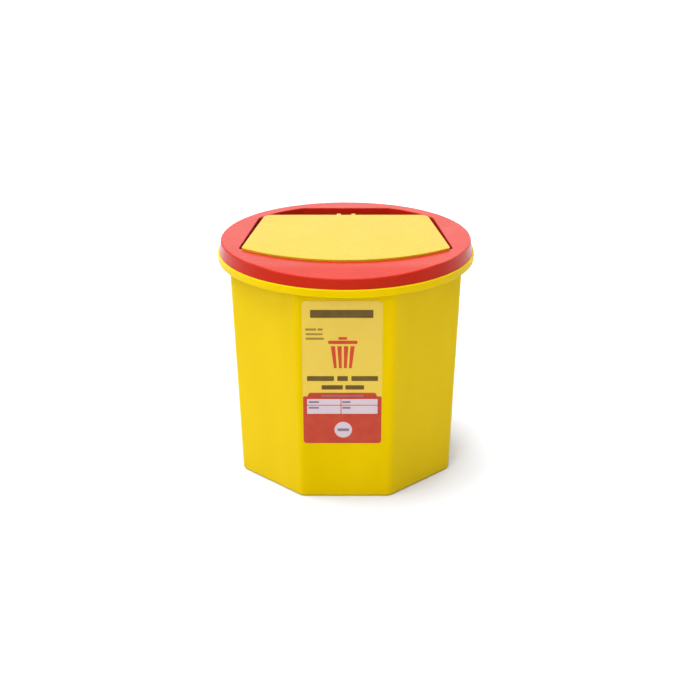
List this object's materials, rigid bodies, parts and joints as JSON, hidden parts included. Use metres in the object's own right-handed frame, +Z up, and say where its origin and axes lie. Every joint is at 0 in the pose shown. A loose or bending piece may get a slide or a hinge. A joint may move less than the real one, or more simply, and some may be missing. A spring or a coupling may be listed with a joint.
{
  "type": "sharps container",
  "caption": "Tapered octagonal sharps container with a round press-on lid and a hinged flap over its disposal opening.",
  "frame": {"origin": "middle of the underside of the base, on the plane that the container stands on", "axes": "+Z up through the lid, -Y the front facet with the label, +X to the right when facing the label"},
  "size_m": [0.1388, 0.1388, 0.1292],
  "materials": {
    "body_yellow": "satin",
    "lid_red": "satin",
    "flap_yellow": "satin",
    "label_film": "satin"
  },
  "bodies": {
    "container": {"container_body": "body_yellow", "front_label": "label_film"},
    "lid": {"lid": "lid_red"},
    "flap": {"flap": "flap_yellow"}
  },
  "joints": [
    {"name": "lid_lift", "type": "slide", "parent": "container", "child": "lid", "axis": [0, 0, 1], "range_m": [0, 0.05]},
    {"name": "flap_hinge", "type": "hinge", "parent": "lid", "child": "flap", "pos_m": [0, 0.039, 0.1264], "axis": [-1, 0, 0], "range_deg": [0, 100]}
  ]
}
